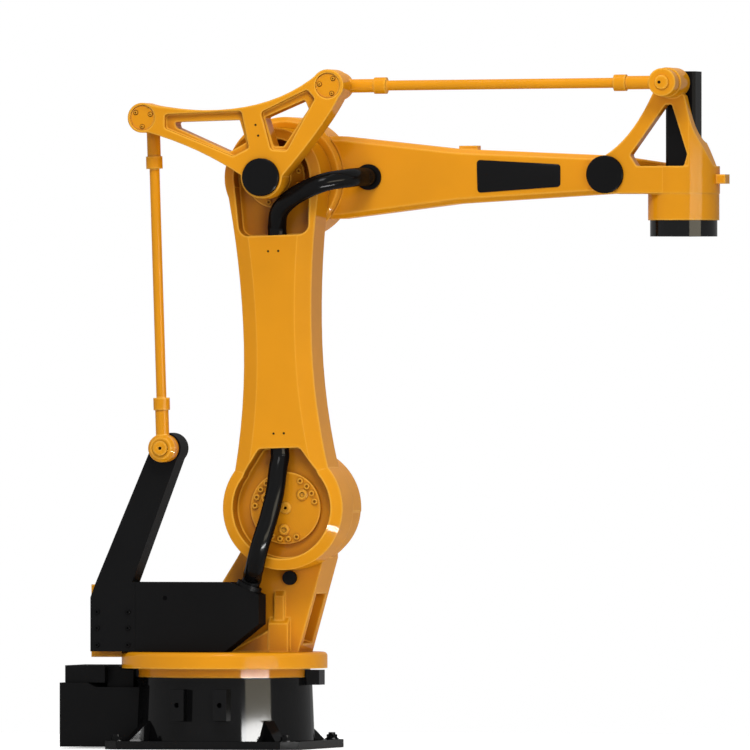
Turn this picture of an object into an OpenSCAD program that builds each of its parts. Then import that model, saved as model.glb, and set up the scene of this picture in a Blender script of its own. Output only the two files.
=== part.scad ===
// Four-axis parallel-link palletising robot arm, built as one assembly of named pieces.
// Frame: X forward, Y away from the photographed side, Z up, origin under the slewing axis.

/* [Arm geometry] */
// slewing axis to shoulder axis, along X
shoulder_x = 300; // [280:1:320]
// shoulder axis above the floor
shoulder_z = 935; // [915:1:960]
// shoulder axis to elbow axis
lower_len = 1280; // [1230:5:1330]
// backward lean of the lower arm at rest, degrees
lower_lean = 1.8; // [0:0.1:4]
// elbow axis to wrist pivot
upper_len = 1300; // [1250:5:1350]
// upward slope of the upper arm at rest, degrees
upper_rise = 0.45; // [0:0.05:2]
// wrist pivot to tool axis, along X
tool_reach = 280; // [270:1:292]
// rear linkage pivot from its axis, along X (negative is behind)
rear_ear_x = -478; // [-500:1:-460]
// rear linkage pivot above its axis
rear_ear_z = 231; // [220:1:245]
// front linkage pivot from its axis, along X
front_ear_x = 265; // [255:1:275]
// front linkage pivot above its axis
front_ear_z = 353; // [340:1:366]

/* [Layers in depth] */
// middle plane of both linkage rods
rod_plane = -253; // [-262:1:-248]
// clear gap between layers that move past each other
layer_gap = 5; // [5:0.5:8]
// front face of the lower arm
lower_front = -270; // [-278:1:-262]
// rear face of the lower arm
lower_back = -83; // [-88:1:-80]
// thickness of the rocker casting
rocker_th = 110; // [90:1:118]
// gap between rod ends and rocker
rocker_gap = 12; // [8:1:16]
// half thickness of the upper arm
upper_half = 66; // [60:1:70]
// outer half width of the wrist fork
fork_half = 130; // [122:1:138]

/* [Base] */
// side of the square foot plate
foot_side = 780; // [740:5:820]
// foot plate thickness
foot_th = 32; // [24:1:40]
// anchor hole spacing on the foot plate
anchor_pitch = 680; // [640:5:700]
// anchor hole radius
anchor_r = 14; // [11:0.5:18]
// corner cut of the foot plate
foot_cut = 60; // [40:1:80]
// column radius at its top
column_r = 340; // [330:1:344]
// draft of the column's side, top to foot
column_draft = 10; // [4:1:16]
// top of the column above the floor
column_top = 276; // [270:1:282]
// thickness of the diagonal foot ribs
rib_th = 44; // [34:1:56]
// height of the foot ribs at the column
rib_h = 78; // [60:1:100]
// width of a lifting pad
pad_w = 56; // [44:1:66]
// height of a lifting pad
pad_h = 122; // [100:1:140]
// bottom of the lifting pads
pad_z = 111; // [104:1:120]
// distance between the lifting pad centres
pad_pitch = 172; // [160:1:184]
// how far the pad faces stand out of the column's foot
pad_out = 38; // [26:1:40]
// thread hole radius in the lifting pads
pad_hole_r = 10; // [7:0.5:13]
// depth of the lifting pad holes
pad_hole_d = 30; // [20:1:34]

/* [Connector housing] */
// rear end of the connector housing
conn_rear = -618; // [-640:1:-600]
// width of the connector housing
conn_w = 340; // [300:1:380]
// floor gap under the connector housing
conn_gap = 6; // [4:1:12]
// top of the connector housing
conn_top = 255; // [248:1:262]
// drop of its front top step
conn_step = 17; // [8:1:24]
// length of its high rear top
conn_high_len = 110; // [90:1:130]
// rear end of the upper hood
hood_rear = -603; // [-612:1:-595]
// front end of the upper hood
hood_front = -443; // [-455:1:-430]
// width of the upper hood
hood_w = 290; // [260:1:320]
// top of the upper hood
hood_top = 322; // [312:1:328]
// width of the low link behind the hood
hood_neck_w = 200; // [170:1:230]
// how much lower that link is
hood_neck_drop = 6; // [3:1:12]

/* [Slewing platform] */
// how far the slewing ring stands back from the column's edge
ring_in = 6; // [4:1:12]
// how far the platform disc stands out over the column
disc_over = 60; // [45:1:70]
// underside of the platform disc
disc_z = 312; // [306:1:318]
// thickness of the platform disc
disc_th = 63; // [56:1:70]
// rounding of the disc's upper edge
disc_round = 16; // [8:1:24]
// rear end of the rear block
block_rear = -510; // [-520:1:-495]
// front end of the rear block
block_front = -120; // [-140:1:-100]
// underside of the rear block
block_z = 354; // [350:1:360]
// top of the rear block
block_top = 636; // [620:1:642]
// back face of the rear block
block_back = 150; // [135:1:170]
// travel stop block, how far it stands out of the column
stop_out = 52; // [45:1:56]
// travel stop width
stop_w = 84; // [70:1:110]
// how far the travel stop reaches down the column
stop_drop = 28; // [20:1:40]
// travel stop top
stop_top = 306; // [300:1:308]

/* [Upright] */
// back face of the upright
upright_back = 135; // [125:1:145]
// radius of the shoulder drum
drum_r = 234; // [228:1:240]
// back face of the drum's wide part
drum_back = 60; // [50:1:80]
// how much smaller the drum is behind its wide part
drum_rear_in = 22; // [14:1:30]
// how much smaller the drum is below its ledge
drum_ledge = 7; // [4:0.5:10]
// ledge below the shoulder axis
drum_ledge_z = 15; // [8:1:24]
// width of the rib on the upright's front
front_rib_w = 80; // [64:1:90]
// height of that rib's wide foot
front_rib_h = 137; // [120:1:150]
// how far that rib stands out
front_rib_out = 26; // [18:1:30]
// front edge of the upright at its foot, along X
upright_foot_x = 318; // [308:1:328]
// rear edge of the upright at its foot, along X
upright_tail_x = -160; // [-180:1:-140]
// front edge of the upright under the drum
upright_neck_x = 420; // [412:1:428]
// height of that neck
upright_neck_z = 740; // [730:1:750]
// rear edge of the upright under the drum
upright_back_x = 72; // [62:1:84]
// depth of the pocket in the upright's front edge
upright_pocket = 46; // [36:1:56]
// height of that pocket as a share of the edge
pocket_share = 0.62; // [0.5:0.01:0.7]
// wall beside that pocket
upright_wall = 34; // [28:1:42]
// radius of the round port on the upright
port_r = 27; // [22:0.5:32]
// length of the round port
port_len = 22; // [14:1:28]

/* [Cover and post] */
// front face of the cover
cover_front = -214; // [-220:1:-210]
// front end of the cover
cover_end = 196; // [188:1:204]
// top of the cover
cover_top = 647; // [640:1:654]
// underside of the cover above the disc
cover_lift = 2; // [1:0.5:6]
// depth of the cover
cover_depth = 104; // [96:1:108]
// upper corner cut, along X
cover_cut_x = 112; // [96:1:124]
// upper corner cut, along Z
cover_cut_z = 48; // [40:1:60]
// lower corner cut, along X
cover_low_x = 137; // [120:1:150]
// lower corner cut, along Z
cover_low_z = 108; // [95:1:120]
// thickness of the linkage post
post_th = 115; // [105:1:118]
// radius of the post's eye
post_r = 60; // [54:1:66]
// foot of the post, rear end
post_rear = -482; // [-492:1:-472]
// foot of the post, front end
post_fore = -301; // [-310:1:-292]
// post width where it leaves the foot
post_root_w = 168; // [150:1:186]

/* [Lower arm] */
// outer radius of the shoulder ring
shoulder_r = 240; // [234:1:246]
// outer radius of the elbow ring
elbow_r = 193; // [187:1:199]
// half width at the waist
waist_half = 138; // [130:1:146]
// waist position above the shoulder axis
waist_v = 650; // [610:5:690]
// half width where the shank leaves the shoulder ring
root_half = 189; // [184:1:193]
// front chamfer of the lower arm
lower_cham = 60; // [52:1:66]
// depth of the lower arm's bevel
lower_cham_in = 27; // [22:1:34]
// radius of the lower window
low_win_r = 196; // [188:1:200]
// half width of the lower window's upper edge
low_win_half = 82; // [70:1:90]
// upper edge of the lower window above the axis
low_win_top = 232; // [224:1:240]
// radius of the upper window
up_win_r = 152; // [146:1:156]
// half width of the upper window's lower edge
up_win_half = 138; // [130:1:144]
// rounding of the window corners
win_round = 40; // [30:1:50]
// lower edge of the upper window below the elbow
up_win_low = 224; // [216:1:232]
// back wall of both windows
window_back = -186; // [-190:1:-180]
// radius of the shoulder output flange
out_flange_r = 140; // [132:1:146]
// thickness of both flanges in the windows
out_flange_th = 16; // [10:1:20]
// radius of the elbow flange
elb_flange_r = 118; // [110:1:126]
// radius of the elbow stub shaft
elb_shaft_r = 60; // [54:1:66]

/* [Rocker] */
// hub radius of the rocker
rocker_hub_r = 82; // [79:1:90]
// radius of the rear ear
ear_rear_r = 58; // [55:1:63]
// radius of the front ear
ear_front_r = 63; // [58:1:68]
// recess radius in both ears
ear_recess_r = 49; // [44:1:51]
// depth of the ear recesses
ear_recess_d = 14; // [8:1:20]
// depth of the casting pockets around the windows
rocker_pocket = 26; // [16:1:34]
// rounding of the pocket corners
rocker_round = 13; // [8:1:16]
// radius of the black hub cap
hub_cap_r = 73; // [66:1:80]
// height of the black hub cap
hub_cap_h = 20; // [12:1:26]

/* [Linkage rods] */
// radius of both rod tubes
rod_r = 19.5; // [17:0.5:23]
// neck radius of the rod ends
neck_r = 26; // [23:0.5:29]
// lock collar radius
collar_r = 32; // [29:0.5:36]
// lock collar start from the pivot
collar_at = 148; // [138:1:158]
// lock collar length
collar_len = 48; // [40:1:56]
// outer radius of the rod eyes
eye_r = 54; // [50:1:58]
// width of the rod eyes
eye_w = 70; // [62:1:74]
// radius of the linkage pins
pin_r = 22; // [18:0.5:26]
// radius of the pin heads
pin_head_r = 28; // [26:0.5:34]
// height of the pin heads
pin_head_h = 9; // [6:0.5:12]

/* [Upper arm] */
// radius of the elbow hub
hub_r = 237; // [230:1:242]
// back face of the elbow hub
hub_back = 125; // [115:1:135]
// bevel on the hub's front edge
hub_bevel = 18; // [10:1:24]
// half length of the stop tab at the rear of the hub
stop_tab = 30; // [22:1:36]
// how far that tab stands out
stop_tab_out = 14; // [8:1:20]
// half height near the hub
upper_root = 160; // [150:1:168]
// where that half height is, along the arm
upper_root_at = 226; // [210:1:240]
// half height near mid length
upper_mid = 106; // [98:1:114]
// where that half height is, along the arm
upper_mid_at = 690; // [650:5:730]
// radius of the arm's tip
upper_tip_r = 74; // [70:1:78]
// chamfer along the arm
upper_cham = 18; // [10:1:24]
// hose socket along the arm
socket_at = 338; // [325:1:350]
// hose socket radius
socket_r = 50; // [46:1:56]
// lifting lug along the arm
lug_at = 690; // [660:5:720]
// lifting lug length
lug_len = 74; // [60:1:90]
// lifting lug height
lug_h = 12; // [8:1:18]

/* [Wrist] */
// fork cheek radius
cheek_r = 74; // [70:1:78]
// top edge of the wrist link above the pivot
link_top = 32; // [26:1:38]
// bottom edge of the wrist link below the pivot
link_low = 74; // [70:1:78]
// radius of the wrist body
body_r = 140; // [134:1:146]
// step between the wrist head and the body under it
head_step = 2; // [1:0.5:4]
// inner radius of the round part of the frame
shell_r = 92; // [88:1:100]
// rounding of the frame's window
window_round = 10; // [6:1:14]
// underside of the wrist body below the pivot
body_low = 177; // [170:1:184]
// boss radius at the top of the wrist frame
top_boss_r = 58; // [55:1:63]
// wrist cap radius
wrist_cap_r = 73; // [68:1:76]
// wrist cap height
wrist_cap_h = 16; // [10:1:20]
// wrist pin radius
wrist_pin_r = 40; // [34:0.5:46]
// side of the wrist motor
wrist_motor_w = 118; // [106:1:126]
// top of the wrist motor above the pivot
wrist_motor_top = 398; // [385:1:410]
// side bracket length
bracket_len = 34; // [24:1:42]
// side bracket height
bracket_h = 36; // [28:1:44]

/* [Tool flange] */
// tool flange radius
flange_r = 130; // [124:1:134]
// tool flange thickness
flange_th = 62; // [54:1:70]
// bolt circle radius of the tool flange
flange_pcd_r = 100; // [92:1:106]
// thread hole radius of the tool flange
flange_hole_r = 6; // [5:0.25:7]
// depth of the tool flange holes
flange_hole_d = 24; // [16:1:30]
// radius of the centring pilot
pilot_r = 50; // [40:1:60]
// depth of the centring pilot
pilot_d = 8; // [5:0.5:12]

/* [Motors] */
// side of the shoulder and elbow motors
motor_w = 150; // [136:1:164]
// length of the motor body
motor_len = 230; // [210:1:250]
// side of the rear cap
motor_cap_w = 118; // [106:1:128]
// length of the rear cap
motor_cap_len = 62; // [50:1:74]
// corner cut of all motors as a share of their side
corner_share = 0.09; // [0.05:0.01:0.14]
// radius of the motor's adapter
motor_flange_r = 122; // [114:1:130]
// thickness of the motor's adapter
motor_flange_th = 36; // [28:1:44]

/* [Hoses] */
// outer radius of both hoses
hose_r = 36; // [32:0.5:37]
// rim of the hose clamp around the hose
clamp_rim = 14; // [9:1:15]
// sides of the hose section
hose_sides = 12; // [8:1:12]

/* [Fits] */
// radial running clearance of the pins
pin_clear = 0.25; // [0.1:0.05:0.4]
// gap between faces that turn on each other
face_gap = 0.5; // [0.3:0.1:1]

/* [Hidden] */
$fn = 96;
// extra length that lets a cut run past a face
cut = 1;
// small overlap that joins the pieces of one casting
bite = 2;
column_foot_r = column_r + column_draft;
pad_face = column_foot_r + pad_out;
ring_r = column_r - ring_in;
disc_r = column_r + disc_over;
stop_face = column_r + stop_out;
elbow_x = shoulder_x - lower_len * sin(lower_lean);
elbow_z = shoulder_z + lower_len * cos(lower_lean);
wrist_x = elbow_x + upper_len * cos(upper_rise);
wrist_z = elbow_z + upper_len * sin(upper_rise);
tool_x = wrist_x + tool_reach;
post_x = shoulder_x + rear_ear_x;
post_z = shoulder_z + rear_ear_z;
eye_front = rod_plane - eye_w / 2;
eye_back = rod_plane + eye_w / 2;
rocker_back = eye_front - rocker_gap;
rocker_front = rocker_back - rocker_th;
post_front = eye_back + layer_gap;
post_back = post_front + post_th;
upright_front = lower_back + layer_gap;
ring_z = column_top + face_gap;
disc_top = disc_z + disc_th;
lower_side = lower_front + lower_cham_in;
socket_h = -upright_front - upper_half;
bore_r = pin_r + pin_clear;
ring_seg = 40;
side_seg = 14;
tip_seg = 23;

ORANGE = [0.91, 0.58, 0.10];
BLACK = [0.07, 0.07, 0.075];
STEEL = [0.55, 0.56, 0.58];

// points on an arc, degrees
function arc_pts(c, r, a0, a1, n) =
  [for (i = [0:n]) let (a = a0 + (a1 - a0) * i / n) [c[0] + r * cos(a), c[1] + r * sin(a)]];

// points on a quadratic curve
function curve_pts(p, q, s, n) =
  [for (i = [0:n]) let (t = i / n) p * (1 - t) * (1 - t) + q * 2 * t * (1 - t) + s * t * t];

// round bar along Y between two depths
module ybar(x, z, y0, y1, r) {
  translate([x, y0, z])
    rotate([-90, 0, 0])
      cylinder(h = y1 - y0, r = r);
}

// round bar along Y whose front edge is bevelled
module ybevel(x, z, y0, y1, r, c) {
  translate([x, y0, z])
    rotate([-90, 0, 0])
      rotate_extrude()
        polygon([[0, 0], [r - c, 0], [r, c], [r, y1 - y0], [0, y1 - y0]]);
}

// outline with rounded corners
function rounded(p, r, n) = [for (i = [0:len(p) - 1])
  let (o = p[i], a = unit(p[(i + len(p) - 1) % len(p)] - o), b = unit(p[(i + 1) % len(p)] - o),
    half = acos(a * b) / 2, m = o + unit(a + b) * r / sin(half),
    s = o + a * r / tan(half) - m, e = o + b * r / tan(half) - m)
  for (k = [0:n]) let (v = s * (n - k) + e * k) m + unit(v) * r];

// flat shape in X and Z drawn between two depths
module yslab(y0, y1) {
  translate([0, y1, 0])
    rotate([90, 0, 0])
      linear_extrude(height = y1 - y0)
        children();
}

// upright box between two corners
module span(lo, hi) {
  translate(lo)
    cube(hi - lo);
}

// solid between two outlines with the same number of points, at two depths;
// each outline runs up one side and down the other, and its ends are closed in strips
module loft(p, y0, q, y1) {
  n = len(p);
  a = turn(p) > 0 ? back(p) : p;
  b = turn(q) > 0 ? back(q) : q;
  pts = concat([for (p = a) [p[0], y0, p[1]]], [for (p = b) [p[0], y1, p[1]]]);
  m = n / 2 - 1;
  caps = concat([for (i = [0:m - 1]) [i, i + 1, n - 2 - i, n - 1 - i]],
    [for (i = [0:m - 1]) [n * 2 - 1 - i, n * 2 - 2 - i, n + i + 1, n + i]]);
  sides = [for (i = [0:n - 1]) let (j = (i + 1) % n) [i, n + i, n + j, j]];
  polyhedron(points = pts, faces = concat(caps, sides), convexity = 6);
}

// twice the signed area of an outline, and the outline in the opposite order
function turn(p) = [for (i = [0:len(p) - 1]) 1]
  * [for (i = [0:len(p) - 1]) let (q = p[(i + 1) % len(p)]) p[i][0] * q[1] - q[0] * p[i][1]];
function back(p) = [for (i = [len(p) - 1:-1:0]) p[i]];

// a direction that no hose runs along, from which the rings are laid out
ring_ref = [1, 0, -1];

// round tube swept along part of a route; each ring stands square to the route
module sweep(route, r, sides, first, last, lift = 0) {
  top = len(route) - 1;
  n = last - first + 1;
  dirs = [for (i = [first:last]) unit(route[min(i + 1, top)] - route[max(i - 1, 0)])];
  us = [for (d = dirs) unit(cross(ring_ref, d))];
  vs = [for (i = [0:n - 1]) cross(dirs[i], us[i])];
  pts = [for (i = [0:n - 1]) for (k = [0:sides - 1]) let (a = 360 * k / sides)
    route[first + i] + dirs[i] * (i == 0 ? lift : 0) + us[i] * r * cos(a) + vs[i] * r * sin(a)];
  walls = [for (i = [0:n - 2]) for (k = [0:sides - 1]) let (m = (k + 1) % sides)
    [i * sides + k, (i + 1) * sides + k, (i + 1) * sides + m, i * sides + m]];
  start = [for (k = [0:sides - 1]) k];
  finish = [for (k = [sides - 1:-1:0]) (n - 1) * sides + k];
  polyhedron(points = pts, faces = concat(walls, [start, finish]), convexity = 4);
}
function unit(v) = v / norm(v);

// a smooth route through a few points
function spline(p, n) = [
  for (i = [0:len(p) - 2]) for (k = [0:(i == len(p) - 2 ? n : n - 1)])
    let (a = p[max(i - 1, 0)], b = p[i], c = p[i + 1], d = p[min(i + 2, len(p) - 1)], t = k / n)
      (b * 2 + (c - a) * t + (a * 2 - b * 5 + c * 4 - d) * t * t
      + (b * 3 - a - c * 3 + d) * t * t * t) / 2
];

// 1 base
module base_plate() {
  color(BLACK)
    difference() {
      linear_extrude(height = foot_th)
        polygon([for (s = [[1, 1], [-1, 1], [-1, -1], [1, -1]]) for (e = [0, 1])
          let (h = foot_side / 2, c = foot_cut, first = (s[0] * s[1] > 0) ? e : 1 - e)
            [s[0] * (h - (first ? c : 0)), s[1] * (h - (first ? 0 : c))]]);
      for (x = [-1, 1])
        for (y = [-1, 1])
          translate([x * anchor_pitch / 2, y * anchor_pitch / 2, -cut])
            cylinder(h = foot_th + cut * 2, r = anchor_r, $fn = 32);
    }
}

module column_profile() {
  rotate_extrude()
    polygon([[0, foot_th], [column_foot_r, foot_th], [column_r, column_top], [0, column_top]]);
}

module base_column() {
  rib_end = foot_side / 2 * sqrt(2) - foot_cut - anchor_r * 4;
  color(BLACK) {
    column_profile();
    for (a = [0:3])
      rotate([0, 0, 45 + 90 * a])
        yslab(-rib_th / 2, rib_th / 2)
          polygon([[0, foot_th], [rib_end, foot_th], [column_foot_r - bite, foot_th + rib_h],
            [0, foot_th + rib_h]]);
    for (s = [-1, 1])
      for (x = [-1, 1])
        difference() {
          span([x * pad_pitch / 2 - pad_w / 2, s > 0 ? 0 : -pad_face, pad_z],
            [x * pad_pitch / 2 + pad_w / 2, s > 0 ? pad_face : 0, pad_z + pad_h]);
          translate([x * pad_pitch / 2, s * (pad_face - pad_hole_d), pad_z + pad_h / 2])
            rotate([-90 * s, 0, 0])
              cylinder(h = pad_hole_d + cut, r = pad_hole_r, $fn = 32);
        }
  }
}

module travel_stop() {
  color(BLACK)
    difference() {
      span([0, -stop_w / 2, column_top - stop_drop], [stop_face, stop_w / 2, stop_top]);
      column_profile();
      translate([0, 0, column_top - cut])
        cylinder(h = stop_top, r = ring_r + layer_gap);
    }
}

module connector_box() {
  mid = conn_rear + conn_high_len;
  color(BLACK)
    difference() {
      yslab(-conn_w / 2, conn_w / 2)
        polygon([[conn_rear, conn_gap], [-column_r / 2, conn_gap], [-column_r / 2, conn_top - conn_step],
          [mid + conn_step * 2, conn_top - conn_step], [mid, conn_top], [conn_rear, conn_top]]);
      column_profile();
      span([-foot_side / 2, -conn_w, -cut], [foot_side / 2, conn_w, foot_th]);
    }
}

module connector_hood() {
  color(BLACK)
    difference() {
      union() {
        span([hood_rear, -hood_w / 2, conn_top], [hood_front, hood_w / 2, hood_top]);
        span([hood_front - bite, -hood_neck_w / 2, conn_top - conn_step],
          [-column_r, hood_neck_w / 2, hood_top - hood_neck_drop]);
      }
      span([conn_rear, -conn_w, 0], [conn_rear + conn_high_len, conn_w, conn_top]);
      cylinder(h = disc_top, r = column_r + layer_gap);
      translate([0, 0, disc_z - layer_gap])
        cylinder(h = disc_th, r = disc_r + layer_gap);
      yslab(-conn_w, conn_w)
        polygon([[conn_rear, 0], [0, 0], [0, conn_top - conn_step],
          [conn_rear + conn_high_len + conn_step * 2, conn_top - conn_step],
          [conn_rear + conn_high_len, conn_top], [conn_rear, conn_top]]);
    }
}

// 2 slewing platform
module slew_ring() {
  color(ORANGE)
    translate([0, 0, ring_z])
      cylinder(h = disc_z - ring_z, r = ring_r);
}

module turntable_disc() {
  color(ORANGE)
    rotate_extrude()
      difference() {
        translate([0, disc_z])
          square([disc_r, disc_th]);
        difference() {
          translate([disc_r - disc_round, disc_top - disc_round])
            square(disc_round + cut);
          translate([disc_r - disc_round, disc_top - disc_round])
            circle(r = disc_round);
        }
      }
}

module rear_block() {
  color(ORANGE)
    difference() {
      span([block_rear, post_back, block_z], [block_front, block_back, block_top]);
      cylinder(h = disc_top, r = disc_r);
      translate([0, 0, -cut])
        j1_space();
    }
}

// room for the slewing motor in the rear block
module j1_space() {
  w = motor_w + layer_gap * 2;
  x = (block_rear + block_front) / 2;
  span([x - w / 2, block_back - w, disc_top], [x + w / 2, block_back + cut, block_top + cut * 2]);
}

module upright() {
  color(ORANGE)
    difference() {
      union() {
        shoulder_drum();
        yslab(upright_front, upright_back)
          upright_shape();
        front_ribs();
      }
      upright_side_pocket();
      span([block_rear, post_back, 0], [block_front, block_back, block_top]);
    }
}

// drum around the shoulder: wide in front, smaller behind, with a ledge at its side
module shoulder_drum() {
  ybar(shoulder_x, shoulder_z, upright_front, upright_back, drum_r - drum_rear_in);
  ybar(shoulder_x, shoulder_z, upright_front, drum_back - layer_gap, drum_r - drum_ledge);
  intersection() {
    ybevel(shoulder_x, shoulder_z, upright_front, drum_back, drum_r, drum_ledge * 2);
    span([shoulder_x - drum_r, upright_front, shoulder_z - drum_ledge_z],
      [shoulder_x + drum_r, drum_back, shoulder_z + drum_r]);
  }
}

// stepped rib on the front and the web beside it
module front_ribs() {
  x1 = upright_foot_x - upright_wall;
  x0 = x1 - front_rib_w;
  z1 = disc_top + front_rib_h;
  slope = front_rib_out;
  translate([x0, 0, 0])
    rotate([90, 0, 90])
      linear_extrude(height = front_rib_w)
        polygon([[upright_front + bite, disc_top], [upright_front - front_rib_out, disc_top],
          [upright_front - front_rib_out, z1 - slope], [upright_front + bite, z1]]);
  translate([x0 + front_rib_w / 4, 0, 0])
    rotate([90, 0, 90])
      linear_extrude(height = front_rib_w / 2)
        polygon([[upright_front + bite, disc_top], [upright_front - front_rib_out / 2, disc_top],
          [upright_front - front_rib_out / 2, z1 + front_rib_w],
          [upright_front + bite, z1 + front_rib_w + slope]]);
  yslab(upright_front - front_rib_out * 0.8, upright_front + bite)
    polygon([[x0 - front_rib_w * 2, disc_top], [x0 + bite, disc_top], [x0 + bite, z1 - slope * 2]]);
}

module upright_shape() {
  polygon([[upright_tail_x, disc_top], [upright_foot_x, disc_top], [upright_neck_x, upright_neck_z],
    [shoulder_x + drum_r / 2, shoulder_z], [shoulder_x - drum_r / 2, shoulder_z],
    [upright_back_x, upright_neck_z]]);
}

// pocket in the front edge, with a wall on both sides
module upright_side_pocket() {
  lean = atan2(upright_neck_x - upright_foot_x, upright_neck_z - disc_top);
  run = (upright_neck_z - disc_top) / cos(lean);
  translate([upright_foot_x, 0, disc_top])
    rotate([0, lean, 0])
      span([-upright_pocket, upright_front + upright_wall, upright_wall],
        [upright_pocket, upright_back - upright_wall, run * pocket_share]);
}

module cable_port() {
  color(BLACK)
    ybar(shoulder_x - port_r / 2, shoulder_z - shoulder_r - port_r - layer_gap,
      upright_front - port_len, upright_front, port_r);
}

module side_cover() {
  z0 = disc_top + cover_lift;
  color(BLACK)
    yslab(cover_front, cover_front + cover_depth)
      polygon([[post_fore + face_gap, z0], [cover_end - cover_low_x, z0], [cover_end, z0 + cover_low_z],
        [cover_end, cover_top - cover_cut_z], [cover_end - cover_cut_x, cover_top],
        [post_fore + face_gap, cover_top]]);
}

module link_post() {
  root_z = cover_top;
  mid_z = shoulder_z;
  color(BLACK) {
    yslab(post_front, post_back) {
      translate([post_x, post_z])
        circle(r = post_r);
      polygon([[post_rear, disc_top + cover_lift], [post_fore, disc_top + cover_lift], [post_fore, root_z],
        [post_rear + post_root_w, root_z], [post_x + post_r, post_z], [post_x - post_r, post_z],
        [post_rear + (post_fore - post_rear) / 8, root_z], [post_rear, root_z - post_r]]);
    }
    ybar(post_x, post_z, eye_front - face_gap, post_front + bite, pin_r);
    ybar(post_x, post_z, eye_front - face_gap - pin_head_h, eye_front - face_gap, pin_head_r);
  }
}

// square with cut corners
module cut_square(w) {
  h = w / 2;
  c = h - w * corner_share;
  polygon([[h, -c], [h, c], [c, h], [-c, h], [-h, c], [-h, -c], [-c, -h], [c, -h]]);
}

// motor standing on +Z: adapter, body and rear cap
module motor_body(w, long, cap_w, cap_len, fl_r, fl_th) {
  cylinder(h = fl_th, r = fl_r);
  translate([0, 0, fl_th - bite])
    linear_extrude(height = long + bite)
      cut_square(w);
  translate([0, 0, fl_th + long - bite])
    linear_extrude(height = cap_len + bite)
      cut_square(cap_w);
}

module j1_motor() {
  x = (block_rear + block_front) / 2;
  color(BLACK)
    translate([x, block_back - motor_w / 2 - layer_gap, disc_top])
      linear_extrude(height = block_top + cover_lift - disc_top)
        cut_square(motor_w);
}

module j2_motor() {
  color(BLACK)
    translate([shoulder_x, upright_back, shoulder_z])
      rotate([-90, 0, 0])
        motor_body(motor_w, motor_len, motor_cap_w, motor_cap_len, motor_flange_r, motor_flange_th);
}

module hose_clamp() {
  color(BLACK)
    translate(clamp_at)
      rotate([0, clamp_a, 0])
        cylinder(h = clamp_h, r = hose_r + clamp_rim);
}

// 3 lower arm
function lower_half(v) =
  v < waist_v ? waist_half + (root_half - waist_half) * pow((waist_v - v) / (waist_v - root_v), 2)
              : waist_half + (elbow_r - waist_half) * pow((v - waist_v) / (lower_len - waist_v), 2);
root_a = acos(root_half / shoulder_r);
root_v = shoulder_r * sin(root_a);
// sides of the shank; both ends run inside the rings
function lower_side_pts(c) = concat(
  [[lower_half(root_v) * 0.7 - c, 0]],
  [for (i = [0:side_seg]) let (v = root_v + (lower_len - root_v) * i / side_seg)
    [lower_half(v) - bite - c, v]]);
function lower_outline(c) = concat(lower_side_pts(c), back([for (p = lower_side_pts(c)) [-p[0], p[1]]]));

// ring with a coned front edge
module lower_ring(v, r) {
  ybar(0, v, lower_side, lower_back, r);
  translate([0, lower_front, v])
    rotate([-90, 0, 0])
      cylinder(h = lower_cham_in, r1 = r - lower_cham, r2 = r);
}

// stands the lower arm's own drawing at the shoulder
module at_shoulder() {
  translate([shoulder_x, 0, shoulder_z])
    rotate([0, -lower_lean, 0])
      children();
}

module lower_window() {
  circle(r = low_win_r);
  polygon(rounded([[-low_win_r * 0.98, -low_win_r * 0.2], [low_win_r * 0.98, -low_win_r * 0.2],
    [low_win_r * 0.95, low_win_r * 0.25], [low_win_r * 0.73, low_win_r * 0.73], [low_win_half, low_win_top],
    [-low_win_half, low_win_top], [-low_win_r * 0.73, low_win_r * 0.73],
    [-low_win_r * 0.95, low_win_r * 0.25]], win_round / 2, 4));
}

module upper_window() {
  translate([0, lower_len])
    circle(r = up_win_r);
  polygon(rounded([[up_win_r * 0.999, lower_len], [-up_win_r * 0.999, lower_len],
    [-up_win_half, lower_len - up_win_low], [up_win_half, lower_len - up_win_low]], win_round, 6));
}

module lower_arm() {
  color(ORANGE)
    at_shoulder()
      difference() {
        union() {
          yslab(lower_side, lower_back)
            polygon(lower_outline(0));
          loft(lower_outline(lower_cham), lower_front, lower_outline(0), lower_side);
          lower_ring(0, shoulder_r);
          lower_ring(lower_len, elbow_r);
          ybar(0, 0, lower_back - bite, upright_front - face_gap, out_flange_r);
          ybar(0, lower_len, lower_back - bite, upright_front - face_gap, out_flange_r);
        }
        yslab(lower_front - cut, window_back)
          lower_window();
        yslab(lower_front - cut, window_back)
          upper_window();
      }
}

module j2_flange() {
  color(ORANGE)
    at_shoulder()
      difference() {
        ybar(0, 0, window_back - out_flange_th, window_back, out_flange_r);
        ybar(0, 0, window_back - out_flange_th - cut, window_back - out_flange_th / 2, out_flange_th / 2);
      }
}

module elbow_shaft() {
  color(ORANGE)
    at_shoulder() {
      ybar(0, lower_len, window_back - out_flange_th, window_back, elb_flange_r);
      ybar(0, lower_len, rocker_front + hub_cap_h, window_back, elb_shaft_r);
    }
}

// 4 rocker
module at_elbow() {
  translate([elbow_x, 0, elbow_z])
    children();
}

ear_rear = [rear_ear_x, rear_ear_z];
ear_front = [front_ear_x, front_ear_z];
rocker_outline = concat(
  curve_pts(ear_rear + [0, ear_rear_r * 0.97], [(rear_ear_x + front_ear_x) / 2 + 90, front_ear_z * 0.555],
    ear_front + [-ear_front_r * 0.48, ear_front_r * 0.84], 14),
  curve_pts(ear_front + [ear_front_r * 0.77, -ear_front_r * 0.58], [front_ear_x, front_ear_z * 0.6],
    [rocker_hub_r * 0.97, 0], 8),
  [[0, 0], [-rocker_hub_r * 0.8, -rocker_hub_r * 0.2]],
  curve_pts([-rocker_hub_r * 0.85, 0], [rear_ear_x * 0.515, rear_ear_z * 0.51],
    ear_rear + [ear_rear_r * 0.24, -ear_rear_r * 0.93], 8)
);
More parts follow.
